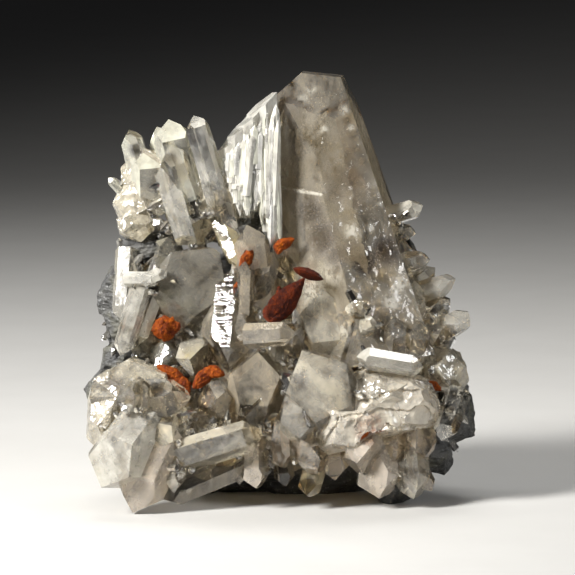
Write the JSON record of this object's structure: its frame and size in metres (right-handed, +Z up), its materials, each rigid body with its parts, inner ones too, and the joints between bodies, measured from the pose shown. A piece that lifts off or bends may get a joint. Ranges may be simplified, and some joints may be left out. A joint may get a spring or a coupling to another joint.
{
  "type": "quartz crystal cluster",
  "caption": "Cluster of intergrown clear and milky quartz crystals around a great tapering crystal, resting on a scrap of dark host rock, with rust-red iron carbonate blades.",
  "frame": {"origin": "centre of the footprint on the surface that the piece rests on", "axes": "+Z up towards the tip of the great crystal, -Y out of the front, +X to the right as seen from the front"},
  "size_m": [0.0798, 0.057, 0.085],
  "materials": {
    "quartz": "clear to milky natural quartz, bright on the crystal faces",
    "host_rock": "dark grey rough rock with small glinting flakes",
    "dark_red_iron_carbonate": "dull dark red-brown",
    "rusty_iron_carbonate": "dull rusty orange-brown"
  },
  "bodies": {
    "root": {"quartz_cluster": "quartz", "host_rock": "host_rock", "long_red_blade": "dark_red_iron_carbonate", "red_lens": "dark_red_iron_carbonate", "rust_rosette_left": "rusty_iron_carbonate", "rust_wedge_left": "rusty_iron_carbonate", "rust_wedge_right": "rusty_iron_carbonate", "rust_blade_upper": "rusty_iron_carbonate", "rust_blade_middle": "rusty_iron_carbonate", "rust_blade_small": "rusty_iron_carbonate", "rust_strip_lower_right": "rusty_iron_carbonate", "rust_blade_right": "rusty_iron_carbonate"}
  },
  "joints": []
}
